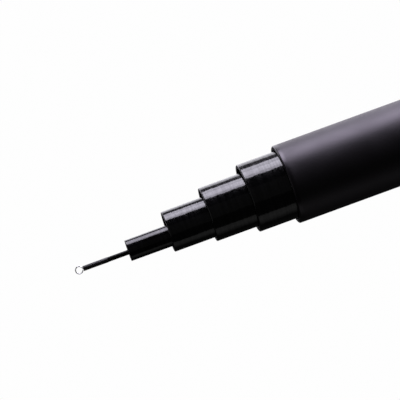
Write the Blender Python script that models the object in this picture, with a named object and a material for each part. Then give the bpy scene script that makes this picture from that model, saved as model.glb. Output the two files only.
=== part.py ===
"""A telescopic pole rod, closed: six nested tubes, a screw cap at the butt and a wire ring at the tip.

The rod lies along +X with its tip forward, and +Z is up. The origin is the centre of the rubber foot
on the butt's end. All sizes are metres, and diameters are outside diameters where nothing else is said.

Each inner section is a little wider at its base than the mouth of the section around it, less a fit,
so that pulled out it locks there by its taper. Closed, every base stands on the bumper in the cap, and
the longer the section, the further its mouth stands out. A section lies low in the bore around it.
"""

import math

import bmesh
import bpy
from mathutils import Vector

# Diameter at the mouth of each section, from the butt to the tip
BUTT_MOUTH = 0.0269
SECTION_5_MOUTH = 0.0232
SECTION_4_MOUTH = 0.0184
SECTION_3_MOUTH = 0.0138
SECTION_2_MOUTH = 0.0071
TIP_END = 0.00150

# Wall at the mouth, where more layers are wound to carry the joint
BUTT_MOUTH_WALL = 0.0013
SECTION_5_MOUTH_WALL = 0.0012
SECTION_4_MOUTH_WALL = 0.0011
SECTION_3_MOUTH_WALL = 0.0010
SECTION_2_MOUTH_WALL = 0.0008

# Wall of the rest of the tube
BUTT_WALL = 0.0009
SECTION_5_WALL = 0.00085
SECTION_4_WALL = 0.0008
SECTION_3_WALL = 0.00075
SECTION_2_WALL = 0.0007
TIP_WALL = 0.0006

# How far each mouth stands out of the mouth around it when the rod is closed
SECTION_5_REACH = 0.01325
SECTION_4_REACH = 0.0143
SECTION_3_REACH = 0.0142
SECTION_2_REACH = 0.0143
TIP_REACH = 0.01565

# Share of the play around each section by which it lies below the middle of the bore
SECTION_5_DROP = 0.02
SECTION_4_DROP = 0.55
SECTION_3_DROP = 0.68
SECTION_2_DROP = 0.90
TIP_DROP = 0.225

# The butt and the joints between sections
BUTT_MOUTH_PLACE = 1.050
BUTT_REAR = 0.0292
JOINT_OVERLAP = 0.080
JOINT_TAPER = 0.003
JOINT_FIT = 0.00005
REINFORCED_LENGTH = 0.160
BUTT_EDGE_ROUND = 0.00045
SECTION_EDGE_ROUND = 0.00015

# Grip sleeve shrunk over the butt
GRIP_LENGTH = 0.330
GRIP_THICKNESS = 0.0008
GRIP_EDGE_ROUND = 0.0005

# Threaded ferrule bonded into the butt
FERRULE_DIAMETER = 0.0310
FERRULE_FLANGE = 0.0020
FERRULE_SLEEVE = 0.0114
FERRULE_BORE = 0.0249
FERRULE_EDGE = 0.0004

# Screw cap
CAP_DIAMETER = 0.0310
CAP_WIDTH = 0.0070
CAP_EDGE_ROUND = 0.0008
CAP_FLUTES = 16
CAP_FLUTE_DEPTH = 0.0007
CAP_STUB_DIAMETER = 0.0246
CAP_STUB_LENGTH = 0.0100
CAP_STUB_CHAMFER = 0.0006
CAP_CUP_DIAMETER = 0.0206
CAP_CUP_DEPTH = 0.0080
STUD_DIAMETER = 0.0032
STUD_HEAD_DIAMETER = 0.0046
STUD_HEAD_LENGTH = 0.0010

# Seal between the cap and the ferrule
O_RING_WIRE = 0.0014
O_RING_GROOVE_DEPTH = 0.0010

# Rubber foot let into the cap's end
FOOT_DIAMETER = 0.0220
FOOT_THICKNESS = 0.0023
FOOT_PROUD = 0.0006
FOOT_EDGE_ROUND = 0.0005
FOOT_GROOVE_RADII = (0.0055, 0.0080)
FOOT_GROOVE_WIDTH = 0.0008
FOOT_GROOVE_DEPTH = 0.0004

# Bumper that turns on the cap's stud and carries the bases of the sections
BUMPER_DIAMETER = 0.0232
BUMPER_PLATE = 0.0064
BUMPER_PLUG = 0.0055
BUMPER_EDGE = 0.0008

# Ring at the tip, its shank in the tip's bore with a short bend before the eye, and the sleeve over it
RING_DIAMETER = 0.0027
RING_WIRE = 0.00035
RING_AHEAD = 0.00140
RING_DROP = 0.0001
RING_SHANK = 0.0085
RING_STRAIGHT_SHORT = 0.00042
RING_BEND_BACK = 0.00024
RING_BEND_SHARE = 0.35
SHANK_BORE = 0.00050
SHANK_BORE_DEPTH = 0.0120
TIP_SLEEVE_LENGTH = 0.0085
TIP_SLEEVE_THICKNESS = 0.00008

# Clearances: pieces that seat on each other, pieces that are glued, and the tip's thin glue line
SEAT_GAP = 0.0003
BOND_GAP = 0.0001
TIP_BOND_GAP = 0.00002

# Facets round a tube, which keep a flat facing down, and round the fluted cap
ROUND_SIDES = 32
CAP_SIDES = 4 * CAP_FLUTES

# Where the wire starts and ends round the ring's eye, in degrees, and the eye's facets
EYE_START = 150
EYE_END = -170
EYE_STEPS = 28

# Each finish: colour, roughness, metallic and clear coat
FINISHES = {
    "butt_lacquer": ((0.075, 0.065, 0.085), 0.5, 0.0, 0.0),
    "section_gloss": ((0.006, 0.006, 0.007), 0.12, 0.0, 1.0),
    "grip_rubber": ((0.016, 0.015, 0.017), 0.85, 0.0, 0.0),
    "ferrule_metal": ((0.10, 0.10, 0.11), 0.35, 1.0, 0.0),
    "cap_metal": ((0.12, 0.12, 0.13), 0.3, 1.0, 0.0),
    "seal_rubber": ((0.012, 0.012, 0.012), 0.6, 0.0, 0.0),
    "foot_rubber": ((0.018, 0.018, 0.019), 0.9, 0.0, 0.0),
    "bumper_foam": ((0.03, 0.03, 0.032), 0.95, 0.0, 0.0),
    "sleeve_black": ((0.008, 0.008, 0.009), 0.5, 0.0, 0.0),
    "ring_steel": ((0.72, 0.73, 0.75), 0.2, 1.0, 0.0),
}

# Places along the rod, from the foot forward
CAP_PLACE = FOOT_PROUD
CAP_FRONT = CAP_PLACE + CAP_WIDTH
O_RING_PLACE = CAP_FRONT - O_RING_GROOVE_DEPTH + SEAT_GAP + O_RING_WIRE / 2
FERRULE_PLACE = O_RING_PLACE + O_RING_WIRE / 2 + SEAT_GAP
BLANK_PLACE = FERRULE_PLACE + FERRULE_FLANGE + SEAT_GAP
STUB_END = CAP_FRONT + CAP_STUB_LENGTH
BUMPER_SEAT = STUB_END + SEAT_GAP
BUMPER_FACE = BUMPER_SEAT + BUMPER_PLATE
BASE_PLACE = BUMPER_FACE + SEAT_GAP
JOINT_RISE = JOINT_TAPER * JOINT_OVERLAP / 2


def along(points, x):
    """Radius at x on an outline of (x, radius) points joined by straight lines."""
    for (x0, r0), (x1, r1) in zip(points, points[1:]):
        if x <= x1:
            return r0 + (r1 - r0) * (x - x0) / (x1 - x0)
    return points[-1][1]


def arc(centre_x, centre_r, radius, start, end, steps=3):
    """Points on a circle, from one angle to another in degrees: 0 is forward and 90 is outward."""
    angles = (math.radians(start + (end - start) * i / steps) for i in range(steps + 1))
    return [(centre_x + radius * math.cos(a), centre_r + radius * math.sin(a)) for a in angles]


class Tube:
    """One section: its outside and its bore as (x, radius) points from its base to its mouth."""

    def __init__(self, place, mouth_place, outside, mouth_wall, wall, edge):
        self.place = place
        self.mouth_place = mouth_place
        self.length = mouth_place - place
        self.outside = outside
        self.edge = edge
        self.mouth_bore = outside[-1][1] - mouth_wall
        thin_from = self.length - REINFORCED_LENGTH
        self.bore = [
            (0.0, outside[0][1] - wall),
            (thin_from, along(outside, thin_from) - wall),
            (self.length - JOINT_OVERLAP, self.mouth_bore + JOINT_RISE),
            (self.length, self.mouth_bore),
        ]
        self.drop = 0.0
        self.axis_height = 0.0

    def outline(self):
        """The closed outline of the wall, with its mouth's outer edge rounded."""
        mouth_radius = self.outside[-1][1]
        rim = arc(self.length - self.edge, mouth_radius - self.edge, self.edge, 90, 0)
        return self.outside[:-1] + rim + self.bore[::-1]


def inner_tube(around, mouth, mouth_wall, wall, reach, drop_share):
    """The section inside another: its base locks in that section's mouth, and it lies low in its bore."""
    mouth_place = around.mouth_place + reach
    length = mouth_place - BASE_PLACE
    lock_radius = around.mouth_bore - JOINT_FIT
    outside = [(0.0, lock_radius + JOINT_RISE), (JOINT_OVERLAP, lock_radius), (length, mouth / 2)]
    tube = Tube(BASE_PLACE, mouth_place, outside, mouth_wall, wall, SECTION_EDGE_ROUND)
    base_in_bore = BASE_PLACE - around.place
    base_play = along(around.bore, base_in_bore) - outside[0][1]
    mouth_play = around.mouth_bore - mouth / 2
    tube.drop = drop_share * min(base_play, mouth_play)
    tube.axis_height = around.axis_height - tube.drop
    return tube


def finish(name):
    """The Principled material of a finish."""
    colour, roughness, metallic, coat = FINISHES[name]
    material = bpy.data.materials.new(name)
    material.use_nodes = True
    shader = material.node_tree.nodes["Principled BSDF"]
    shader.inputs["Base Color"].default_value = (*colour, 1.0)
    shader.inputs["Roughness"].default_value = roughness
    shader.inputs["Metallic"].default_value = metallic
    shader.inputs["Coat Weight"].default_value = coat
    return material


def add(name, mesh, place, material, parent=None):
    """An object of the mesh, placed at a world point, also where it is parented."""
    solid = bpy.data.objects.new(name, mesh)
    bpy.context.collection.objects.link(solid)
    solid.data.materials.append(material)
    solid.location = Vector(place)
    if parent is not None:
        solid.parent = parent
        solid.location = Vector(place) - parent.location
    return solid


def turned(name, outline, sides, flutes=None):
    """A mesh turned about the X axis from an outline of (x, radius) points.

    An outline that starts and ends on the axis makes a solid, and any other is closed into a ring.
    flutes gives the radius of the rim that carries flutes, and their depth."""
    mesh = bpy.data.meshes.new(name)
    shape = bmesh.new()
    half_side = math.pi / sides
    corners = [
        shape.verts.new((x, r * math.sin(half_side), r * math.cos(half_side))) for x, r in outline
    ]
    solid = outline[0][1] == 0.0
    after = corners[1:] if solid else corners[1:] + corners[:1]
    edges = [shape.edges.new(pair) for pair in zip(corners, after)]
    bmesh.ops.spin(
        shape,
        geom=corners + edges,
        cent=(0, 0, 0),
        axis=(1, 0, 0),
        angle=2 * math.pi,
        steps=sides,
        use_merge=True,
    )
    bmesh.ops.remove_doubles(shape, verts=shape.verts, dist=1e-7)
    if flutes:
        cut_flutes(shape, *flutes)
    bmesh.ops.recalc_face_normals(shape, faces=shape.faces)
    shape.to_mesh(mesh)
    shape.free()
    mesh.shade_smooth()
    mesh.set_sharp_from_angle(angle=math.radians(30))
    return mesh


def cut_flutes(shape, rim_radius, depth):
    """Cut grip flutes through the rim and its rounded edges, one in each four facets."""
    for corner in shape.verts:
        radius = math.hypot(corner.co.y, corner.co.z)
        angle = math.atan2(corner.co.y, corner.co.z) - math.pi / CAP_SIDES
        flute_radius = rim_radius - depth * (1 - math.cos(CAP_FLUTES * angle)) / 2
        if radius > flute_radius:
            corner.co.y *= flute_radius / radius
            corner.co.z *= flute_radius / radius


def make_butt(blank):
    """The butt's blank, with its grip sleeve and the threaded ferrule in its end."""
    butt = add(
        "butt_blank",
        turned("butt_blank", blank.outline(), ROUND_SIDES),
        (blank.place, 0, 0),
        finish("butt_lacquer"),
    )
    grip_bore = [(x, along(blank.outside, x) + BOND_GAP) for x in (0.0, GRIP_LENGTH)]
    rear, front = (radius + GRIP_THICKNESS - GRIP_EDGE_ROUND for _, radius in grip_bore)
    grip_outline = (
        arc(GRIP_EDGE_ROUND, rear, GRIP_EDGE_ROUND, 180, 90)
        + arc(GRIP_LENGTH - GRIP_EDGE_ROUND, front, GRIP_EDGE_ROUND, 90, 0)
        + grip_bore[::-1]
    )
    add(
        "grip_sleeve",
        turned("grip_sleeve", grip_outline, ROUND_SIDES),
        (blank.place, 0, 0),
        finish("grip_rubber"),
        butt,
    )
    sleeve_end = FERRULE_FLANGE + FERRULE_SLEEVE
    in_blank = FERRULE_PLACE + sleeve_end - blank.place
    sleeve_radius = along(blank.bore, in_blank) - BOND_GAP
    flange_radius = FERRULE_DIAMETER / 2
    bore_radius = FERRULE_BORE / 2
    ferrule_outline = [
        (0.0, flange_radius - FERRULE_EDGE),
        (FERRULE_EDGE, flange_radius),
        (FERRULE_FLANGE, flange_radius),
        (FERRULE_FLANGE, sleeve_radius),
        (sleeve_end - FERRULE_EDGE, sleeve_radius),
        (sleeve_end, sleeve_radius - FERRULE_EDGE),
        (sleeve_end, bore_radius),
        (0.0, bore_radius),
    ]
    add(
        "butt_ferrule",
        turned("butt_ferrule", ferrule_outline, ROUND_SIDES),
        (FERRULE_PLACE, 0, 0),
        finish("ferrule_metal"),
        butt,
    )


def make_cap():
    """The screw cap with its fluted rim, its rubber foot and the seal round its stub."""
    rim = CAP_DIAMETER / 2
    stub = CAP_STUB_DIAMETER / 2
    recess = FOOT_DIAMETER / 2 + SEAT_GAP
    recess_depth = FOOT_THICKNESS - FOOT_PROUD + SEAT_GAP
    seal_radius = stub + SEAT_GAP + O_RING_WIRE / 2
    groove_wall = seal_radius + O_RING_WIRE / 2 + SEAT_GAP
    groove_floor = CAP_WIDTH - O_RING_GROOVE_DEPTH
    stub_end = CAP_WIDTH + CAP_STUB_LENGTH
    cup_floor = stub_end - CAP_CUP_DEPTH
    head_front = BUMPER_FACE - SEAT_GAP - CAP_PLACE
    head_rear = head_front - STUD_HEAD_LENGTH
    outline = (
        [(recess_depth, 0.0), (recess_depth, recess), (0.0, recess)]
        + arc(CAP_EDGE_ROUND, rim - CAP_EDGE_ROUND, CAP_EDGE_ROUND, 180, 90)
        + arc(CAP_WIDTH - CAP_EDGE_ROUND, rim - CAP_EDGE_ROUND, CAP_EDGE_ROUND, 90, 0)
        + [
            (CAP_WIDTH, groove_wall),
            (groove_floor, groove_wall),
            (groove_floor, stub),
            (stub_end - CAP_STUB_CHAMFER, stub),
            (stub_end, stub - CAP_STUB_CHAMFER),
            (stub_end, CAP_CUP_DIAMETER / 2),
            (cup_floor, CAP_CUP_DIAMETER / 2),
            (cup_floor, STUD_DIAMETER / 2),
            (head_rear, STUD_DIAMETER / 2),
            (head_rear, STUD_HEAD_DIAMETER / 2),
            (head_front, STUD_HEAD_DIAMETER / 2),
            (head_front, 0.0),
        ]
    )
    cap = add(
        "butt_cap",
        turned("butt_cap", outline, CAP_SIDES, flutes=(rim, CAP_FLUTE_DEPTH)),
        (CAP_PLACE, 0, 0),
        finish("cap_metal"),
    )
    add(
        "cap_o_ring",
        turned("cap_o_ring", arc(0.0, seal_radius, O_RING_WIRE / 2, 0, 315, steps=7), ROUND_SIDES),
        (O_RING_PLACE, 0, 0),
        finish("seal_rubber"),
        cap,
    )
    add(
        "cap_foot",
        turned("cap_foot", foot_outline(), ROUND_SIDES),
        (0, 0, 0),
        finish("foot_rubber"),
        cap,
    )


def foot_outline():
    """The foot's outline, from the middle of its flat rear face round to the middle of its front."""
    radius = FOOT_DIAMETER / 2
    points = [(0.0, 0.0)]
    for groove in FOOT_GROOVE_RADII:
        near, far = groove - FOOT_GROOVE_WIDTH / 2, groove + FOOT_GROOVE_WIDTH / 2
        points += [(0.0, near), (FOOT_GROOVE_DEPTH, near), (FOOT_GROOVE_DEPTH, far), (0.0, far)]
    points += arc(FOOT_EDGE_ROUND, radius - FOOT_EDGE_ROUND, FOOT_EDGE_ROUND, 180, 90)
    return points + [(FOOT_THICKNESS, radius), (FOOT_THICKNESS, 0.0)]


def make_bumper():
    """The bumper: a plate that the bases stand on, and a plug in the cap's cup, round the stud's head."""
    plate = BUMPER_DIAMETER / 2
    plug = CAP_CUP_DIAMETER / 2 - SEAT_GAP
    hole = STUD_DIAMETER / 2 + SEAT_GAP
    head_hole = STUD_HEAD_DIAMETER / 2 + SEAT_GAP
    face = BUMPER_PLATE
    head_floor = face - STUD_HEAD_LENGTH - 2 * SEAT_GAP
    outline = [
        (-BUMPER_PLUG, hole),
        (-BUMPER_PLUG, plug),
        (0.0, plug),
        (0.0, plate),
        (face - BUMPER_EDGE, plate),
        (face, plate - BUMPER_EDGE),
        (face, head_hole),
        (head_floor, head_hole),
        (head_floor, hole),
    ]
    add(
        "cap_bumper",
        turned("cap_bumper", outline, ROUND_SIDES),
        (BUMPER_SEAT, 0, 0),
        finish("bumper_foam"),
    )


def make_tip(tip, tip_finish):
    """The tip's blank, with the wire ring set in its end and the sleeve bonded over that end."""
    blank = add(
        "tip_blank",
        turned("tip_blank", tip.outline(), ROUND_SIDES),
        (tip.place, 0, tip.axis_height),
        tip_finish,
    )
    sleeve_start = tip.length - TIP_SLEEVE_LENGTH
    sleeve_bore = [
        (x - sleeve_start, along(tip.outside, x) + TIP_BOND_GAP) for x in (sleeve_start, tip.length)
    ]
    sleeve_outside = [(x, radius + TIP_SLEEVE_THICKNESS) for x, radius in sleeve_bore]
    add(
        "tip_sleeve",
        turned("tip_sleeve", sleeve_outside + sleeve_bore[::-1], ROUND_SIDES),
        (tip.place + sleeve_start, 0, tip.axis_height),
        finish("sleeve_black"),
        blank,
    )
    add(
        "tip_ring",
        ring_wire(),
        (tip.mouth_place, 0, tip.axis_height),
        finish("ring_steel"),
        blank,
    )


def ring_wire():
    """The ring's wire: straight up the tip, then once round the eye, ending short of where it began."""
    eye_radius = (RING_DIAMETER - RING_WIRE) / 2
    eye = arc(RING_AHEAD, -RING_DROP, eye_radius, EYE_START, EYE_END, EYE_STEPS)
    straight_end = eye[0][0] - RING_STRAIGHT_SHORT
    bend = (eye[0][0] - RING_BEND_BACK, eye[0][1] * RING_BEND_SHARE)
    wire = [(-RING_SHANK, 0.0), (straight_end, 0.0), bend] + eye
    curve = bpy.data.curves.new("tip_ring", "CURVE")
    curve.dimensions = "3D"
    curve.bevel_depth = RING_WIRE / 2
    curve.bevel_resolution = 2
    curve.use_fill_caps = True
    path = curve.splines.new("POLY")
    path.points.add(len(wire) - 1)
    for point, (x, z) in zip(path.points, wire):
        point.co = (x, 0.0, z, 1.0)
    return curve


def tip_tube(around):
    """The tip's blank: it locks like the other sections, and its bore narrows to hold the ring's shank."""
    tip = inner_tube(
        around, TIP_END, (TIP_END - SHANK_BORE) / 2, TIP_WALL, TIP_REACH, TIP_DROP
    )
    tip.bore = [
        (0.0, tip.outside[0][1] - TIP_WALL),
        (tip.length - SHANK_BORE_DEPTH, SHANK_BORE / 2),
        (tip.length, SHANK_BORE / 2),
    ]
    return tip


def main():
    for old in list(bpy.data.objects):
        bpy.data.objects.remove(old)

    butt_length = BUTT_MOUTH_PLACE - BLANK_PLACE
    butt_outside = [(0.0, BUTT_REAR / 2), (butt_length, BUTT_MOUTH / 2)]
    butt = Tube(
        BLANK_PLACE, BUTT_MOUTH_PLACE, butt_outside, BUTT_MOUTH_WALL, BUTT_WALL, BUTT_EDGE_ROUND
    )
    make_butt(butt)
    make_cap()
    make_bumper()

    gloss = finish("section_gloss")
    sizes = {
        "section_5": (
            SECTION_5_MOUTH, SECTION_5_MOUTH_WALL, SECTION_5_WALL, SECTION_5_REACH, SECTION_5_DROP
        ),
        "section_4": (
            SECTION_4_MOUTH, SECTION_4_MOUTH_WALL, SECTION_4_WALL, SECTION_4_REACH, SECTION_4_DROP
        ),
        "section_3": (
            SECTION_3_MOUTH, SECTION_3_MOUTH_WALL, SECTION_3_WALL, SECTION_3_REACH, SECTION_3_DROP
        ),
        "section_2": (
            SECTION_2_MOUTH, SECTION_2_MOUTH_WALL, SECTION_2_WALL, SECTION_2_REACH, SECTION_2_DROP
        ),
    }
    around = butt
    for name, values in sizes.items():
        section = inner_tube(around, *values)
        mesh = turned(name, section.outline(), ROUND_SIDES)
        add(name, mesh, (section.place, 0, section.axis_height), gloss)
        around = section
    make_tip(tip_tube(around), gloss)


if __name__ == "__main__":
    main()
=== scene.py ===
"""A telescopic pole rod, closed and lying level, seen close up at its mouth end.

The rod lies along +X with its tip forward, and +Z is up. Lengths are metres, except where a comment
says millimetres. Every turned piece is an outline of (x, radius) points carried round its own axis.
A finish reads the place on its piece, or the one map of the piece's surface, which holds turns
round it and millimetres along it.
"""
import math
from collections import namedtuple

import bmesh
import bpy
import numpy as np
from mathutils import Matrix, Vector


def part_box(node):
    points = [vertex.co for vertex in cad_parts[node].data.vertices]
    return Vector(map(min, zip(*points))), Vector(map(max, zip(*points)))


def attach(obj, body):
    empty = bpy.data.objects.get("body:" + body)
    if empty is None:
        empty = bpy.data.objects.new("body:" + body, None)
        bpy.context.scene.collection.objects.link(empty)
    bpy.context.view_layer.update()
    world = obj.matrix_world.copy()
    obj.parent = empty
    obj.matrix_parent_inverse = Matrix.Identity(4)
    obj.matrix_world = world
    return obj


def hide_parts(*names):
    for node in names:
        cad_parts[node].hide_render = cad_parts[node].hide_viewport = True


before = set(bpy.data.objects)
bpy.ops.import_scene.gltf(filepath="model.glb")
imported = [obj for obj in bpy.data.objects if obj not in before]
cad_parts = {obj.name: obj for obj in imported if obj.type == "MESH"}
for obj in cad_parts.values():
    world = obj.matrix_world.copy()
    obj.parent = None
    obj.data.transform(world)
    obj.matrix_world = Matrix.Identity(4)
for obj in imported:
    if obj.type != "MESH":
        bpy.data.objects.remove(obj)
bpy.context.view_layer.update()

MM = 0.001

# The photograph's frame: a pixel's size at the rod, where the butt's mouth is, how the rod lies,
# and the sensor's width in millimetres
FRAME_PIXELS = 400
PIXEL = 0.3288 * MM
MOUTH_PIXEL = (285.5, 184.8)
CAMERA_DISTANCE = 0.55
TURNED_TO_MOUTH = math.radians(4.8)
RISE = math.radians(20.0)
SENSOR = 36.0

# Each tube, in millimetres: its radius at the base, where it locks, at the mouth and in the mouth's
# bore, and its wall
Tube = namedtuple("Tube", "base lock mouth bore wall")
BUTT = Tube(14.60, 14.511, 13.45, 12.15, 0.90)
SECTIONS = {
    "section_5": Tube(12.22, 12.10, 11.60, 10.40, 0.85),
    "section_4": Tube(10.47, 10.35, 9.20, 8.10, 0.80),
    "section_3": Tube(8.17, 8.05, 6.90, 5.90, 0.75),
    "section_2": Tube(5.97, 5.85, 3.55, 2.75, 0.70),
}
TIP = Tube(2.82, 2.70, 0.79, 0.25, 0.60)

# The lock's length and how much it narrows, the thicker mouth's length, and the bore for the ring
JOINT = 80 * MM
JOINT_RISE = 0.12 * MM
THICKENED = 160 * MM
SHANK_BORE_DEPTH = 12 * MM

# How far the tubes' edges are rounded, and in how many steps those and other pieces' corners are
BUTT_EDGE = 0.45 * MM
SECTION_EDGE = 0.3 * MM
THIN_EDGE = 0.15 * MM
SOFT_EDGE = 0.08 * MM
EDGE_STEPS = 8
CORNER_STEPS = 5

# The wire ring: its eye and wire, how far its middle is ahead of the tip, and the eye's two ends
RING_RADIUS = 1.2 * MM
RING_WIRE = 0.175 * MM
RING_AHEAD = 1.38 * MM
EYE_START, EYE_END = math.radians(150), math.radians(-170)

# The ring's shank in the tip's bore: its length, where it starts to bend towards the eye, and how
# far the bend holds the shank's direction and the eye's
SHANK = 8.5 * MM
SHANK_BEND = 0.25 * MM
SHANK_PULL, EYE_PULL = 0.3 * MM, 0.25 * MM

# The thin sleeve shrunk over the tip's end, and the line of glue under it
SLEEVE_WALL = 0.05 * MM
SLEEVE_GLUE = 0.01 * MM
SLEEVE_EDGE = 0.03 * MM

# The grip sleeve, in millimetres: its bore and outside at its rear and its front
GRIP_BORE = (14.70, 14.335)
GRIP_OUTSIDE = (15.50, 15.135)

# The grip's crossing ribs, the bare bands at both ends, and how fine its outline is cut for them
RIBS_ROUND = 12
RIB_PITCH = 12 * MM
RIB_HEIGHT = 0.3 * MM
RIB_FREE = 9 * MM
RIB_FADE = 3 * MM
RIB_STEP = 0.82 * MM

# The cap's screw thread, cut on its stub and in the ferrule: a fifth of its pitch is flat at the
# crests, and a fifth at the roots
THREAD_PITCH = 1.5 * MM
THREAD_DEPTH = 0.42 * MM
THREAD_ROOT = 12.0 * MM
THREAD_PLAY = 0.12 * MM
THREAD_FLAT = 0.2
THREAD_START, THREAD_END = 9.2 * MM, 17.0 * MM
THREAD_FREE = 0.3 * MM
THREAD_FADE = 0.7 * THREAD_PITCH
THREAD_STEP = THREAD_PITCH / 14
FERRULE_BORE = THREAD_ROOT + THREAD_DEPTH + THREAD_PLAY

# The cap's fluted rim
RIM = 15.5 * MM
FLUTES = 16
FLUTE_DEPTH = 0.7 * MM
FLUTE_TURN = math.pi / 64

# Radii that differ by less than a hair are one, and so are points closer than SAME_POINT
HAIR = 0.01 * MM
SAME_POINT = 1e-8

# A mesh's edges are sharp from this angle, and its map has this name
SHARP_FROM = math.radians(40)
TURN_MAP = "turn"


# Shapes

def round_corners(corners, radii, steps):
    """Round an outline's corners: each becomes an arc that touches both of its sides.

    radii is each corner's radius, 0 where it stays sharp. The arc's centre c lies on the corner's
    bisector, radius / sin(half angle) from the corner. Its first spoke f and its last spoke g stand
    an angle w apart, and the point at share s is c + (sin((1 - s) w) f + sin(s w) g) / sin w."""
    corners = np.asarray(corners, float)
    radii = np.broadcast_to(np.asarray(radii, float), len(corners))
    share = np.linspace(0, 1, steps + 1)[:, None]
    points = []
    for before, corner, after, radius in zip(
        np.roll(corners, 1, 0), corners, np.roll(corners, -1, 0), radii
    ):
        if radius <= 0:
            points.append(corner[None])
            continue
        back = (before - corner) / np.linalg.norm(before - corner)
        on = (after - corner) / np.linalg.norm(after - corner)
        half = math.acos(np.clip(back @ on, -1, 1)) / 2
        centre = corner + (back + on) / np.linalg.norm(back + on) * radius / math.sin(half)
        first = corner + back * radius / math.tan(half) - centre
        last = corner + on * radius / math.tan(half) - centre
        sweep = math.pi - 2 * half
        swept = np.sin((1 - share) * sweep) * first + np.sin(share * sweep) * last
        points.append(centre + swept / math.sin(sweep))
    return np.concatenate(points)


def cut_fine(outline, low, high, step):
    """Cut an outline's sides whose radii lie between two values into pieces of a step at most."""
    pieces = []
    for here, there in zip(outline, np.roll(outline, -1, 0)):
        held = low < min(here[1], there[1]) and max(here[1], there[1]) < high
        count = math.ceil(math.dist(here, there) / step) if held else 1
        pieces.append(np.linspace(here, there, count + 1)[:-1])
    return np.concatenate(pieces)


def smooth(value, low, high):
    """0 up to low, 1 from high, and 3 s s - 2 s s s between them."""
    s = np.clip((value - low) / (high - low), 0, 1)
    return s * s * (3 - 2 * s)


def window(x, start, end, fade):
    """1 between two places along the rod, and smoothly 0 outside them."""
    return smooth(x, start, start + fade) * (1 - smooth(x, end - fade, end))


def carry(outline, sides, height=0.0, relief=None):
    """Carry an outline of (x, r) points round the X axis, into a grid of points.

    Row i, column j is x = x_i, y = R sin a_j, z = height + R cos a_j, with a_j = 2 pi j / sides
    from the top towards +Y, and R = r_i, plus relief(x_i, r_i, a_j) where the surface has one."""
    angle = np.linspace(0, 2 * math.pi, sides + 1)[None, :-1]
    x, r = outline[:, :1], outline[:, 1:]
    reach = r + (relief(x, r, angle) if relief else 0) + 0 * angle
    return np.stack([x + 0 * angle, reach * np.sin(angle), height + reach * np.cos(angle)], -1)


def skin(name, grid, finishes, ring=True, zones=None):
    """A piece whose surface is quads over a grid of points, closed round its columns.

    ring joins the last row to the first, as a tube's wall does, and otherwise both are poles. zones
    gives each row of quads the number of its finish. The map of the surface holds, for row i and
    column j, j / columns turns round and x_i in millimetres along."""
    rows, columns = grid.shape[:2]
    index = np.arange(rows * columns).reshape(rows, columns)
    index = np.hstack([index, index[:, :1]])
    along = grid[:, 0, 0] / MM
    if ring:
        index, along = np.vstack([index, index[:1]]), np.append(along, along[0])
    turns = np.stack(np.meshgrid(np.linspace(0, 1, columns + 1), along), -1)

    def corners_of(values):
        corners = (values[:-1, :-1], values[1:, :-1], values[1:, 1:], values[:-1, 1:])
        return np.stack(corners, 2)

    quads = corners_of(index)
    mesh = bpy.data.meshes.new(name)
    mesh.vertices.add(rows * columns)
    mesh.vertices.foreach_set("co", grid.astype(np.float32).ravel())
    mesh.loops.add(quads.size)
    mesh.loops.foreach_set("vertex_index", quads.astype(np.int32).ravel())
    mesh.polygons.add(quads.size // 4)
    mesh.polygons.foreach_set("loop_start", np.arange(0, quads.size, 4, dtype=np.int32))
    if zones is not None:
        mesh.polygons.foreach_set("material_index", np.repeat(zones, columns).astype(np.int32))
    mesh.update(calc_edges=True)
    layer = mesh.uv_layers.new(name=TURN_MAP)
    layer.uv.foreach_set("vector", corners_of(turns).astype(np.float32).ravel())
    return made(name, mesh, finishes)


def made(name, mesh, finishes):
    """The piece of a mesh: its poles closed, its faces turned outwards and shaded smooth."""
    shape = bmesh.new()
    shape.from_mesh(mesh)
    bmesh.ops.remove_doubles(shape, verts=shape.verts, dist=SAME_POINT)
    if shape.calc_volume(signed=True) < 0:
        bmesh.ops.reverse_faces(shape, faces=shape.faces)
    shape.to_mesh(mesh)
    shape.free()
    mesh.shade_smooth()
    mesh.set_sharp_from_angle(angle=SHARP_FROM)
    for finish in finishes:
        mesh.materials.append(finish)
    piece = bpy.data.objects.new(name, mesh)
    bpy.context.scene.collection.objects.link(piece)
    return piece


# Finishes: noise scales are waves to the metre, and colours are linear

# The Mix node's sockets for colours, by number because those for other kinds have the same names
MIX_A, MIX_B, MIX_RESULT = 6, 7, 2


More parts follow.
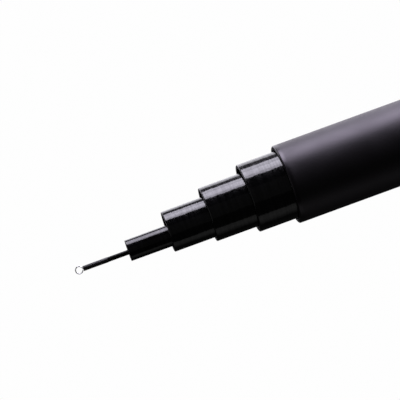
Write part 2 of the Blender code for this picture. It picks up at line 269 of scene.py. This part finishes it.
class Wiring:
    """Places nodes in a tree and links what they are given, so that an effect is a formula."""

    def __init__(self, tree):
        self.tree = tree

    def put(self, kind, settings=None, **inputs):
        """A node with its settings, and its inputs by name with _ for each space."""
        node = self.tree.nodes.new(kind)
        for key, value in (settings or {}).items():
            setattr(node, key, value)
        for key, value in inputs.items():
            self.feed(node, key.replace("_", " "), value)
        return node

    def feed(self, node, key, value):
        """Link a node's input to a socket, or set it to a constant."""
        if isinstance(value, bpy.types.NodeSocket):
            self.tree.links.new(value, node.inputs[key])
        else:
            node.inputs[key].default_value = value

    def maths(self, operation, *values):
        node = self.put("ShaderNodeMath", {"operation": operation})
        for number, value in enumerate(values):
            self.feed(node, number, value)
        return node.outputs[0]

    def ramp(self, value, low, high, to_low=0.0, to_high=1.0):
        """value from low to high, turned smoothly into to_low to to_high."""
        node = self.put("ShaderNodeMapRange", {"interpolation_type": "SMOOTHSTEP"}, Value=value)
        limits = {"From Min": low, "From Max": high, "To Min": to_low, "To Max": to_high}
        for key, number in limits.items():
            self.feed(node, key, number)
        return node.outputs["Result"]

    def noise(self, vector, scale, detail=2.0):
        noise = self.put("ShaderNodeTexNoise", Vector=vector, Scale=scale, Detail=detail)
        return noise.outputs[0]

    def blend(self, share, first, second):
        """A colour between two, each a socket or three numbers."""
        node = self.put("ShaderNodeMix", {"data_type": "RGBA"}, Factor=share)
        for key, colour in ((MIX_A, first), (MIX_B, second)):
            linked = isinstance(colour, bpy.types.NodeSocket)
            self.feed(node, key, colour if linked else (*colour, 1))
        return node.outputs[MIX_RESULT]

    def parts(self, vector):
        return self.put("ShaderNodeSeparateXYZ", Vector=vector).outputs

    def joined(self, x, y):
        return self.put("ShaderNodeCombineXYZ", X=x, Y=y).outputs[0]

    def place(self):
        return self.put("ShaderNodeTexCoord").outputs["Object"]

    def turns(self):
        return self.put("ShaderNodeUVMap", {"uv_map": TURN_MAP}).outputs["UV"]

    def effect(self, group, **inputs):
        return self.put("ShaderNodeGroup", {"node_tree": group}, **inputs).outputs

    def bump(self, height):
        """The normal of a relief whose height is in metres."""
        return self.put("ShaderNodeBump", Height=height, Strength=1.0, Distance=1.0).outputs[0]


def effect_group(name, vectors, values, outputs):
    """An empty shader node group with its sockets, its wiring, and its input and output nodes."""
    group = bpy.data.node_groups.new(name, "ShaderNodeTree")
    for labels, way, kind in (
        (vectors, "INPUT", "NodeSocketVector"),
        (values, "INPUT", "NodeSocketFloat"),
        (outputs, "OUTPUT", "NodeSocketFloat"),
    ):
        for label in labels:
            group.interface.new_socket(label, in_out=way, socket_type=kind)
    wiring = Wiring(group)
    return group, wiring, wiring.put("NodeGroupInput").outputs, wiring.put("NodeGroupOutput")


def tape_ridges():
    """Ridges that the shrink tape leaves round a wound tube, with slow waves and a fine mottle.

    The ridge is the sine of pi (v / pitch + u), taken positive, over the map of turns u and
    millimetres v, so that it winds round once in a pitch. Noise of two scales adds the waves and
    the grain. The mottle is 0.6 of a noise that follows the tape and 0.4 of one that doesn't."""
    group, wiring, given, result = effect_group(
        "tape ridges",
        vectors=["Turn", "Place"],
        values=["Pitch", "Ridge", "Wave", "Grain"],
        outputs=["Height", "Mottle"],
    )
    u, v, _ = wiring.parts(given["Turn"])
    pitches = wiring.maths("DIVIDE", v, given["Pitch"])
    half_turns = wiring.maths("MULTIPLY", wiring.maths("ADD", pitches, u), math.pi)
    ridge = wiring.maths("ABSOLUTE", wiring.maths("SINE", half_turns))
    height = wiring.maths("MULTIPLY", ridge, given["Ridge"])
    for scale, size in ((300.0, "Wave"), (1900.0, "Grain")):
        waves = wiring.noise(given["Place"], scale)
        height = wiring.maths("MULTIPLY_ADD", waves, given[size], height)
    wiring.feed(result, "Height", height)
    rings = wiring.ramp(wiring.noise(wiring.joined(pitches, u), 1.9, 1.0), 0.34, 0.66)
    specks = wiring.ramp(wiring.noise(given["Place"], 1400.0, 1.0), 0.32, 0.68)
    mottle = wiring.maths("MULTIPLY_ADD", specks, 0.4, wiring.maths("MULTIPLY", rings, 0.6))
    wiring.feed(result, "Mottle", mottle)
    return group


def turned_lines():
    """Fine rings that a lathe's tool leaves, the same all round: noise over x and the radius."""
    group, wiring, given, result = effect_group(
        "turned lines", vectors=["Place"], values=["Scale"], outputs=["Height", "Tone", "Radius"]
    )
    x, y, z = wiring.parts(given["Place"])
    squares = (wiring.maths("MULTIPLY", side, side) for side in (y, z))
    radius = wiring.maths("SQRT", wiring.maths("ADD", *squares))
    line = wiring.joined(x, radius)
    wiring.feed(result, "Height", wiring.noise(line, given["Scale"], 3.0))
    wiring.feed(result, "Tone", wiring.ramp(wiring.noise(line, 700.0), 0.3, 0.7))
    wiring.feed(result, "Radius", radius)
    return group


def grain():
    """A moulded or sprayed surface: fine grain over slow unevenness, and a mask of faint dust."""
    group, wiring, given, result = effect_group(
        "grain", vectors=["Place"], values=["Scale", "Depth"], outputs=["Height", "Tone", "Dust"]
    )
    place = given["Place"]
    fine = wiring.noise(place, given["Scale"], 3.0)
    wiring.feed(result, "Height", wiring.maths("MULTIPLY", fine, given["Depth"]))
    wiring.feed(result, "Tone", wiring.ramp(wiring.noise(place, 120.0, 4.0), 0.25, 0.75))
    wiring.feed(result, "Dust", wiring.ramp(wiring.noise(place, 5200.0, 1.0), 0.66, 0.8))
    return group


TAPE_RIDGES = tape_ridges()
TURNED_LINES = turned_lines()
GRAIN = grain()

# The gloss tubes' relief: the tape's pitch in millimetres, its ridges, and the fine grain
TAPE_PITCH = 1.2
TAPE_RIDGE = 0.0015 * MM
GLOSS_GRAIN = 0.014 * MM

# The butt's lip is rubbed smoother by this factor, over the last millimetre and fading behind it
LIP_RUBBED = 0.68
LIP_START, LIP_FULL = 1.9 * MM, 1.0 * MM

# How deep the lines of turned metal and of bored fibre are
TURNED_RELIEF = 0.0035 * MM
BORED_RELIEF = 0.004 * MM

# Dust's colour, and the colour and the width of the worn edge of the rims
DUST = (0.09, 0.085, 0.08)
WORN_METAL = (0.34, 0.34, 0.35)
WORN_BAND = 0.5 * MM


def new_finish(name, **values):
    """A Principled material with constants on its shader's own sockets, and its wiring."""
    material = bpy.data.materials.new(name)
    material.use_nodes = True
    wiring = Wiring(material.node_tree)
    shader = material.node_tree.nodes["Principled BSDF"]
    for key, value in values.items():
        wiring.feed(shader, key.replace("_", " "), value)
    return material, wiring, shader


def clear_gloss(name, wave, shine=0.5):
    """Clear gloss over black wound fibre, with the tape's ridges showing through it."""
    finish, wiring, shader = new_finish(name, Coat_Roughness=0.27, Specular_IOR_Level=shine)
    ridges = wiring.effect(
        TAPE_RIDGES,
        Turn=wiring.turns(),
        Place=wiring.place(),
        Pitch=TAPE_PITCH,
        Ridge=TAPE_RIDGE,
        Wave=wave,
        Grain=GLOSS_GRAIN,
    )
    mottle = ridges["Mottle"]
    fibre = wiring.blend(mottle, (0.0012, 0.0012, 0.0015), (0.0022, 0.0021, 0.0026))
    wiring.feed(shader, "Base Color", fibre)
    wiring.feed(shader, "Roughness", wiring.ramp(mottle, 0, 1, 0.05, 0.09))
    wiring.feed(shader, "Coat Weight", wiring.ramp(mottle, 0, 1, 0.0, 0.34))
    wiring.feed(shader, "Normal", wiring.bump(ridges["Height"]))
    return finish


def satin_lacquer(mouth):
    """Dark purple-grey lacquer, sprayed satin: fine grain, slow changes of tone, a smoother lip."""
    finish, wiring, shader = new_finish(
        "satin_lacquer",
        Specular_Tint=(0.97, 0.89, 1.0, 1),
        Specular_IOR_Level=0.56,
        Sheen_Weight=0.1,
        Sheen_Roughness=0.35,
        Sheen_Tint=(0.95, 0.86, 1.0, 1),
    )
    place = wiring.place()
    grains = wiring.effect(GRAIN, Place=place, Scale=3600.0, Depth=0.012 * MM)
    tone = grains["Tone"]
    colour = wiring.blend(tone, (0.0002, 0.00015, 0.0003), (0.0005, 0.0004, 0.0006))
    along = wiring.parts(place)["X"]
    rubbed = wiring.ramp(along, mouth - LIP_START, mouth - LIP_FULL, 1.0, LIP_RUBBED)
    satin = wiring.ramp(tone, 0, 1, 0.44, 0.49)
    wiring.feed(shader, "Base Color", colour)
    wiring.feed(shader, "Roughness", wiring.maths("MULTIPLY", satin, rubbed))
    wiring.feed(shader, "Normal", wiring.bump(grains["Height"]))
    return finish


def raw_wall():
    """Cut and bored fibre, unlacquered: matt near-black with faint rings."""
    finish, wiring, shader = new_finish("raw_wall")
    lines = wiring.effect(TURNED_LINES, Place=wiring.place(), Scale=5000.0)
    tone = lines["Tone"]
    fibre = wiring.blend(tone, (0.003, 0.003, 0.0035), (0.007, 0.007, 0.008))
    wiring.feed(shader, "Base Color", fibre)
    wiring.feed(shader, "Roughness", wiring.ramp(tone, 0, 1, 0.5, 0.7))
    relief = wiring.maths("MULTIPLY", lines["Height"], BORED_RELIEF)
    wiring.feed(shader, "Normal", wiring.bump(relief))
    return finish


def moulded(name, dark, light, rough, scale, depth, dust):
    """Rubber or plastic from a mould: fine grain, slow changes of tone, and faint specks of dust.
    """
    finish, wiring, shader = new_finish(name)
    grains = wiring.effect(GRAIN, Place=wiring.place(), Scale=scale, Depth=depth)
    tone = grains["Tone"]
    specks = wiring.maths("MULTIPLY", grains["Dust"], dust)
    colour = wiring.blend(specks, wiring.blend(tone, dark, light), DUST)
    wiring.feed(shader, "Base Color", colour)
    wiring.feed(shader, "Roughness", wiring.ramp(tone, 0, 1, rough - 0.07, rough + 0.05))
    wiring.feed(shader, "Normal", wiring.bump(grains["Height"]))
    return finish


def anodised(name, dark, light):
    """Dark anodised aluminium with its turned lines, worn lighter where the rim is touched."""
    finish, wiring, shader = new_finish(name, Metallic=1.0)
    place = wiring.place()
    lines = wiring.effect(TURNED_LINES, Place=place, Scale=9000.0)
    tone = lines["Tone"]
    edge = wiring.ramp(lines["Radius"], RIM - WORN_BAND, RIM)
    scuffs = wiring.ramp(wiring.noise(place, 900.0, 4.0), 0.45, 0.7)
    worn = wiring.maths("MULTIPLY", wiring.maths("MULTIPLY", edge, scuffs), 0.45)
    colour = wiring.blend(worn, wiring.blend(tone, dark, light), WORN_METAL)
    wiring.feed(shader, "Base Color", colour)
    wiring.feed(shader, "Roughness", wiring.ramp(tone, 0, 1, 0.28, 0.38))
    relief = wiring.maths("MULTIPLY", lines["Height"], TURNED_RELIEF)
    wiring.feed(shader, "Normal", wiring.bump(relief))
    return finish


def drawn_wire():
    """Bright stainless wire with the fine scratches of its drawing."""
    finish, wiring, shader = new_finish("drawn_wire", Metallic=1.0)
    scratches = wiring.noise(wiring.place(), 9000.0, 3.0)
    steel = wiring.blend(scratches, (0.86, 0.87, 0.89), (0.95, 0.95, 0.96))
    wiring.feed(shader, "Base Color", steel)
    wiring.feed(shader, "Roughness", wiring.ramp(scratches, 0.3, 0.7, 0.42, 0.55))
    return finish


# The tubes

def node_run(node):
    """Where a CAD node starts and ends along X, and the height of its axis."""
    low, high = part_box(node)
    return low.x, high.x, (low.z + high.z) / 2


def on_body(piece, body, node):
    """The piece rides on its body and stands in for its node, whose own part is hidden."""
    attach(piece, body)
    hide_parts(node)


def make_tube(node, body, sizes, edge, gloss, sides=160, bore=None):
    """A section's wall: out along its outside to the mouth, over the rim, and back in its bore.

    Outside it narrows from the base to where it locks, then to the mouth. The bore follows at the
    wall's thickness, and closes in to the joint, whose taper is the outside's. The gloss ends with
    the rim's rounded edge: two edges' steps, and the two sides that meet where the tube locks."""
    start, end, height = node_run(node)
    base, lock, mouth, mouth_bore, wall = (size * MM for size in sizes)
    length = end - start
    outside = [(0, base), (JOINT, lock), (length, mouth)]
    if bore is None:
        thin = np.interp(length - THICKENED, *zip(*outside)) - wall
        bore = [(length - JOINT, mouth_bore + JOINT_RISE), (length - THICKENED, thin)]
    corners = outside + [(length, mouth_bore)] + bore + [(0, base - wall)]
    radii = [SOFT_EDGE, 0, edge, SOFT_EDGE] + [0] * len(bore) + [SOFT_EDGE]
    outline = round_corners(corners, radii, EDGE_STEPS) + (start, 0)
    glossy = 2 * EDGE_STEPS + 2
    zones = (np.arange(len(outline)) >= glossy).astype(int)
    tube = skin(node + "_tube", carry(outline, sides, height), [gloss, BORE_FINISH], zones=zones)
    on_body(tube, body, node)


BUTT_MOUTH = node_run("butt_blank")[1]
BORE_FINISH = raw_wall()
GLOSS = clear_gloss("clear_gloss", wave=0.05 * MM)
THIN_GLOSS = clear_gloss("thin_gloss", wave=0.05 * MM, shine=0.35)
TIP_GLOSS = clear_gloss("tip_gloss", wave=0.012 * MM, shine=0.05)

lacquer = satin_lacquer(BUTT_MOUTH)
make_tube("butt_blank", "butt", BUTT, BUTT_EDGE, lacquer, sides=192)
for node, sizes in SECTIONS.items():
    gloss, edge = (THIN_GLOSS, THIN_EDGE) if node == "section_2" else (GLOSS, SECTION_EDGE)
    make_tube(node, node, sizes, edge, gloss)

TIP_START, TIP_END, TIP_HEIGHT = node_run("tip_blank")
shank_bore = [(TIP_END - TIP_START - SHANK_BORE_DEPTH, TIP.bore * MM)]
make_tube(
    "tip_blank", "tip", TIP, THIN_EDGE, TIP_GLOSS, sides=64, bore=shank_bore
)


# The ring and the sleeve in and on the tip's end

def ring_path():
    """The wire's middle line: straight up the tip's bore, a bend, then once round the eye.

    The bend is a cubic curve from the shank's direction to the eye's tangent, and the eye is an arc
    that ends just short of the shank."""
    shank = np.stack([np.linspace(-SHANK, -SHANK_BEND, 24), np.zeros(24)], -1)
    turn = np.linspace(EYE_START, EYE_END, 120)
    eye = (RING_AHEAD, 0) + RING_RADIUS * np.stack([np.cos(turn), np.sin(turn)], -1)
    tangent = np.array([math.sin(EYE_START), -math.cos(EYE_START)])
    handles = np.array(
        [shank[-1], shank[-1] + (SHANK_PULL, 0), eye[0] - EYE_PULL * tangent, eye[0]]
    )
    t = np.linspace(0, 1, 22)[1:-1, None]
    weights = np.concatenate([(1 - t) ** 3, 3 * t * (1 - t) ** 2, 3 * t**2 * (1 - t), t**3], 1)
    return np.concatenate([shank, weights @ handles, eye])


def wire_grid(path, radius, sides=20):
    """A round wire along a path in the XZ plane, its ends rounded off to poles.

    Each point is path + R (cos b n + sin b y), with n the path's normal in the plane, y across it,
    and R = radius sqrt(1 - e e) where e runs to 1 over the last radius of the path's length."""
    step = np.linalg.norm(np.diff(path, axis=0), axis=1)
    run = np.concatenate([[0], np.cumsum(step)])
    ends = radius * (1 - np.cos(np.linspace(0, math.pi / 2, 9)))
    between = run[(run > radius) & (run < run[-1] - radius)]
    at = np.unique(np.concatenate([ends, between, run[-1] - ends]))
    line = np.stack([np.interp(at, run, path[:, i]) for i in (0, 1)], -1)
    along = np.gradient(line, axis=0)
    along /= np.linalg.norm(along, axis=1, keepdims=True)
    short = np.clip(1 - np.minimum(at, run[-1] - at) / radius, 0, 1)
    reach = (radius * np.sqrt(1 - short**2))[:, None]
    b = np.linspace(0, 2 * math.pi, sides + 1)[None, :-1]
    x = line[:, :1] - along[:, 1:] * reach * np.cos(b)
    z = line[:, 1:] + along[:, :1] * reach * np.cos(b)
    return np.stack([x, reach * np.sin(b), z], -1)


wire = wire_grid(ring_path(), RING_WIRE) + (TIP_END, 0, TIP_HEIGHT)
tip_ring = skin("tip_ring_wire", wire, [drawn_wire()], ring=False)
on_body(tip_ring, "tip", "tip_ring")

sleeve_start, sleeve_end, sleeve_height = node_run("tip_sleeve")
tip_slope = (TIP.lock - TIP.mouth) * MM / (TIP_END - TIP_START - JOINT)
inner = TIP.mouth * MM + SLEEVE_GLUE
inner_rear = inner + tip_slope * (sleeve_end - sleeve_start)
sleeve_corners = [
    (sleeve_start, inner_rear + SLEEVE_WALL),
    (sleeve_end, inner + SLEEVE_WALL),
    (sleeve_end, inner),
    (sleeve_start, inner_rear),
]
sleeve = round_corners(sleeve_corners, [SLEEVE_EDGE, SLEEVE_EDGE, 0, 0], CORNER_STEPS)
sleeve_finish = moulded(
    "shrunk_sleeve",
    dark=(0.003, 0.003, 0.003),
    light=(0.006, 0.006, 0.006),
    rough=0.45,
    scale=9000.0,
    depth=0.001 * MM,
    dust=0.0,
)
tip_sleeve = skin("tip_sleeve_wrap", carry(sleeve, 64, sleeve_height), [sleeve_finish])
on_body(tip_sleeve, "tip", "tip_sleeve")


# The butt's end: the grip sleeve, the threaded ferrule, and the screw cap with its rubber pieces

def ribs(x, r, angle):
    """Crossing ribs: the higher of two waves ((1 + cos p) / 2) ^ 3, one wound each way.

    Their phases are p = n a - 2 pi x / pitch and p = n a + 2 pi x / pitch, for n ribs round. The
    ground between them lies a rib's height lower, except on the bare bands at both ends."""
    phases = (RIBS_ROUND * angle + way * 2 * math.pi * x / RIB_PITCH for way in (-1, 1))
    higher = np.maximum(*(((1 + np.cos(phase)) / 2) ** 3 for phase in phases))
    start, end, _ = node_run("grip_sleeve")
    return -RIB_HEIGHT * (1 - higher) * window(x, start + RIB_FREE, end - RIB_FREE, RIB_FADE)


def thread(x, angle):
    """A right-hand thread between 0 and 1: flat crests and roots, with straight flanks between.

    Its phase is x / pitch + a / 2 pi, so that it meets itself when it turns and moves as the cap
    does."""
    phase = (x / THREAD_PITCH + angle / (2 * math.pi)) % 1
    return np.clip((np.abs(2 * phase - 1) - THREAD_FLAT) / (1 - 2 * THREAD_FLAT), 0, 1)


def ferrule_thread(x, r, angle):
    """The ferrule's thread stands inwards from its open bore, and ends before the bore's mouth."""
    bored = np.abs(r - FERRULE_BORE) < HAIR
    start, end, _ = node_run("butt_ferrule")
    shown = window(x, start + THREAD_FREE, end - THREAD_FREE, THREAD_FADE)
    return -THREAD_DEPTH * (1 - thread(x, angle)) * shown * bored


def cap_relief(x, r, angle):
    """The cap's thread stands out from its stub, and flutes of cosine form are cut in its rim."""
    stub = np.abs(r - THREAD_ROOT) < HAIR
    shown = window(x, THREAD_START, THREAD_END, THREAD_FADE)
    fluted = RIM - FLUTE_DEPTH * (1 - np.cos(FLUTES * (angle - FLUTE_TURN))) / 2
    return THREAD_DEPTH * thread(x, angle) * shown * stub + np.minimum(fluted - r, 0)


def turned_piece(
    node, body, finish, corners, radii, sides=128, relief=None, fine=None, ring=True
):
    """A turned piece for a node, from its outline's corners and how far each is rounded.

    Both are millimetres, and the corners count from the node's rear. fine gives the two radii
    between which the outline is cut fine for the relief, and the step."""
    corners = np.array(corners) * MM + (node_run(node)[0], 0)
    outline = round_corners(corners, np.array(radii) * MM, CORNER_STEPS)
    if fine:
        outline = cut_fine(outline, *fine)
    grid = carry(outline, sides, relief=relief)
    on_body(skin(node + "_turned", grid, [finish], ring=ring), body, node)


# The grip's outside, and back through its bore
grip_start, grip_end, _ = node_run("grip_sleeve")
grip_length = (grip_end - grip_start) / MM
turned_piece(
    "grip_sleeve",
    "butt",
    moulded(
        "ribbed_rubber",
        dark=(0.0055, 0.0052, 0.0058),
        light=(0.0125, 0.012, 0.013),
        rough=0.62,
        scale=2600.0,
        depth=0.012 * MM,
        dust=0.25,
    ),
    corners=[
        (0, GRIP_OUTSIDE[0]),
        (grip_length, GRIP_OUTSIDE[1]),
        (grip_length, GRIP_BORE[1]),
        (0, GRIP_BORE[0]),
    ],
    radii=[0.5, 0.5, 0.1, 0.1],
    sides=168,
    relief=ribs,
    fine=(GRIP_OUTSIDE[1] * MM - HAIR, GRIP_OUTSIDE[0] * MM + HAIR, RIB_STEP),
)

# The ferrule's flange, its outside, and back through its threaded bore
turned_piece(
    "butt_ferrule",
    "butt",
    anodised("ferrule_anodised", dark=(0.030, 0.030, 0.033), light=(0.050, 0.050, 0.055)),
    corners=[
        (0, 15.5), (2, 15.5),
        (2, 13.588), (13.4, 13.588),
        (13.4, FERRULE_BORE / MM), (0, FERRULE_BORE / MM),
    ],
    radii=[0.4, 0.15, 0.1, 0.4, 0.25, 0.35],
    relief=ferrule_thread,
    fine=(FERRULE_BORE - HAIR, FERRULE_BORE + HAIR, THREAD_STEP),
)

# The cap's seat for the foot, its rim, the seal's groove, the stub, its cup, and the bumper's stud
turned_piece(
    "butt_cap",
    "cap",
    anodised("cap_anodised", dark=(0.034, 0.034, 0.038), light=(0.056, 0.056, 0.062)),
    corners=[
        (2, 0), (2, 11.3),
        (0, 11.3), (0, 15.5), (7, 15.5),
        (7, 14.3), (6, 14.3), (6, 12),
        (17, 12), (17, 10.3),
        (9, 10.3), (9, 1.6),
        (22.4, 1.6), (22.4, 2.3), (23.4, 2.3), (23.4, 0),
    ],
    radii=[0, 0.2, 0.2, 0.8, 0.8, 0.15, 0.1, 0.15, 0.4, 0.2, 0.3, 0.3, 0.05, 0.15, 0.25, 0],
    sides=192,
    relief=cap_relief,
    fine=(THREAD_ROOT - HAIR, THREAD_ROOT + HAIR, THREAD_STEP),
    ring=False,
)

# The seal is round: its corners' radii are half its thickness, less a thousandth of a millimetre
turned_piece(
    "cap_o_ring",
    "cap",
    moulded(
        "smooth_rubber",
        dark=(0.006, 0.006, 0.006),
        light=(0.010, 0.010, 0.010),
        rough=0.42,
        scale=4000.0,
        depth=0.002 * MM,
        dust=0.1,
    ),
    corners=[(0, 12.6), (1.4, 12.6), (1.4, 14.0), (0, 14.0)],
    radii=[0.699] * 4,
)

# The foot's face with its two grooves, its side, and its back
turned_piece(
    "cap_foot",
    "cap",
    moulded(
        "dusty_rubber",
        dark=(0.009, 0.009, 0.0095),
        light=(0.017, 0.0165, 0.0165),
        rough=0.7,
        scale=2200.0,
        depth=0.014 * MM,
        dust=0.6,
    ),
    corners=[
        (0, 0),
        (0, 5.1), (0.4, 5.1), (0.4, 5.9), (0, 5.9),
        (0, 7.6), (0.4, 7.6), (0.4, 8.4), (0, 8.4),
        (0, 11), (2.3, 11), (2.3, 0),
    ],
    radii=[0] + [0.12] * 8 + [0.5, 0.2, 0],
    ring=False,
)

# The bumper's neck in the cap's cup, its head, the stud head's seat, and the bore
turned_piece(
    "cap_bumper",
    "bumper",
    moulded(
        "foam_rubber",
        dark=(0.010, 0.010, 0.011),
        light=(0.026, 0.025, 0.026),
        rough=0.85,
        scale=1500.0,
        depth=0.05 * MM,
        dust=0.3,
    ),
    corners=[
        (0, 1.9), (0, 10), (5.5, 10),
        (5.5, 11.6), (11.9, 11.6),
        (11.9, 2.6), (10.3, 2.6), (10.3, 1.9),
    ],
    radii=[0.2, 0.5, 0.3, 0.4, 0.8, 0.3, 0.1, 0.1],
)


# Light and camera

def add_light(name, middle, facing, width, depth, radiance, colour):
    """A soft panel, bright by its radiance: an area light of power area x pi x radiance."""
    lamp = bpy.data.lights.new(name, "AREA")
    lamp.shape = "RECTANGLE"
    lamp.size, lamp.size_y = width, depth
    lamp.energy = radiance * width * depth * math.pi
    lamp.color = colour
    panel = bpy.data.objects.new(name, lamp)
    bpy.context.scene.collection.objects.link(panel)
    panel.location = middle
    away = -Vector(facing).normalized()
    across = Vector((0, 0, 1)).cross(away) if abs(away.z) < 0.5 else Vector((1, 0, 0))
    across.normalize()
    turned = Matrix((across, away.cross(across), away)).transposed()
    panel.rotation_mode = "QUATERNION"
    panel.rotation_quaternion = turned.to_quaternion()
    panel.visible_camera = False


DOWN, UP = (0, 0, -1), (0, 0, 1)
COOL, FAINTLY_COOL, PLAIN = (1.0, 0.962, 1.115), (1.0, 0.98, 1.065), (1.0, 1.0, 1.0)

# Each panel's name, middle, facing, width, depth, radiance and colour. The one over the butt ends
# where the bare sections would start to mirror it.
PANELS = (
    ("overhead_softbox", (0.42, 0.042, 0.8), DOWN, 1.5, 0.656, 5.5, COOL),
    ("softbox_middle", (0.42, 0.089, 0.79), DOWN, 1.5, 0.262, 2.4, COOL),
    ("white_background", (1.35, -1.0, 0.63), (0, 1, 0), 4.5, 0.88, 1.5, FAINTLY_COOL),
    ("dim_ceiling", (0.42, -0.62, 0.82), DOWN, 1.5, 0.66, 0.14, COOL),
    ("butt_ceiling", (0.285, -0.62, 0.81), DOWN, 1.23, 0.66, 2.3, COOL),
    ("left_reflector", (2.3, 0.9, 0.1), (-1, -0.5, 0), 1.2, 1.6, 0.25, PLAIN),
    ("dim_front", (0.6, 2.5, 0.2), (0, -1, 0), 3.0, 2.4, 0.028, PLAIN),
)
for panel in PANELS:
    add_light(*panel)

# Strips under the rod share their front edge, and together fade towards the rear. Each wider one
# lies a little lower.
LOW_FRONT, LOW_HEIGHT = 0.155, -0.4
LOW_STRIPS = ((0.135, 0.04), (0.185, 0.05), (0.235, 0.04), (0.285, 0.03))
for depth, radiance in LOW_STRIPS:
    middle = (0.6, LOW_FRONT - depth / 2, LOW_HEIGHT - 0.02 * depth)
    add_light("low_strip", middle, UP, 1.6, depth, radiance, PLAIN)

# The camera sees a white room, which lights the rod only faintly
WHITE, DIM = 0.99, 0.012
world = bpy.data.worlds.new("white_room")
bpy.context.scene.world = world
world.use_nodes = True
room = Wiring(world.node_tree)
seen = room.put("ShaderNodeLightPath").outputs["Is Camera Ray"]
backdrop = world.node_tree.nodes["Background"]
room.feed(backdrop, "Color", (1, 1, 1, 1))
room.feed(backdrop, "Strength", room.ramp(seen, 0.0, 1.0, DIM, WHITE))

# The floor is as white as the room, far under the rod, and neither lights it nor shows in its gloss
FLOOR_DROP = 0.5
FLOOR_REACH = 40.0
floor_mesh = bpy.data.meshes.new("pale_floor")
square = np.array([(-1, -1, 0), (1, -1, 0), (1, 1, 0), (-1, 1, 0)]) * FLOOR_REACH
floor_mesh.from_pydata((square - (0, 0, FLOOR_DROP)).tolist(), [], [(0, 1, 2, 3)])
floor_finish, _, _ = new_finish(
    "pale_floor",
    Base_Color=(0, 0, 0, 1),
    Specular_IOR_Level=0.0,
    Emission_Color=(1, 1, 1, 1),
    Emission_Strength=WHITE,
)
floor_mesh.materials.append(floor_finish)
floor = bpy.data.objects.new("pale_floor", floor_mesh)
bpy.context.scene.collection.objects.link(floor)
floor.visible_glossy = floor.visible_diffuse = floor.visible_shadow = False


def aim_camera():
    """The camera looks square to the rod but for a few degrees towards its mouths, and is rolled.

    The butt's mouth falls on its pixel of the photograph, and the butt rises to the right."""
    towards = Vector((math.sin(TURNED_TO_MOUTH), math.cos(TURNED_TO_MOUTH), 0))
    level = Vector((-towards.y, towards.x, 0))
    right = level * math.cos(RISE) - Vector((0, 0, 1)) * math.sin(RISE)
    up = level * math.sin(RISE) + Vector((0, 0, 1)) * math.cos(RISE)
    across = (MOUTH_PIXEL[0] - FRAME_PIXELS / 2) * PIXEL
    over = (FRAME_PIXELS / 2 - MOUTH_PIXEL[1]) * PIXEL
    middle = Vector((BUTT_MOUTH, 0, 0)) - right * across - up * over
    lens = bpy.data.cameras.new("camera")
    lens.sensor_width = SENSOR
    lens.lens = SENSOR * CAMERA_DISTANCE / (FRAME_PIXELS * PIXEL)
    camera = bpy.data.objects.new("camera", lens)
    bpy.context.scene.collection.objects.link(camera)
    camera.location = middle + towards * CAMERA_DISTANCE
    camera.rotation_mode = "QUATERNION"
    camera.rotation_quaternion = Matrix((right, up, towards)).transposed().to_quaternion()
    bpy.context.scene.camera = camera


aim_camera()
bpy.context.scene.view_settings.view_transform = "Standard"
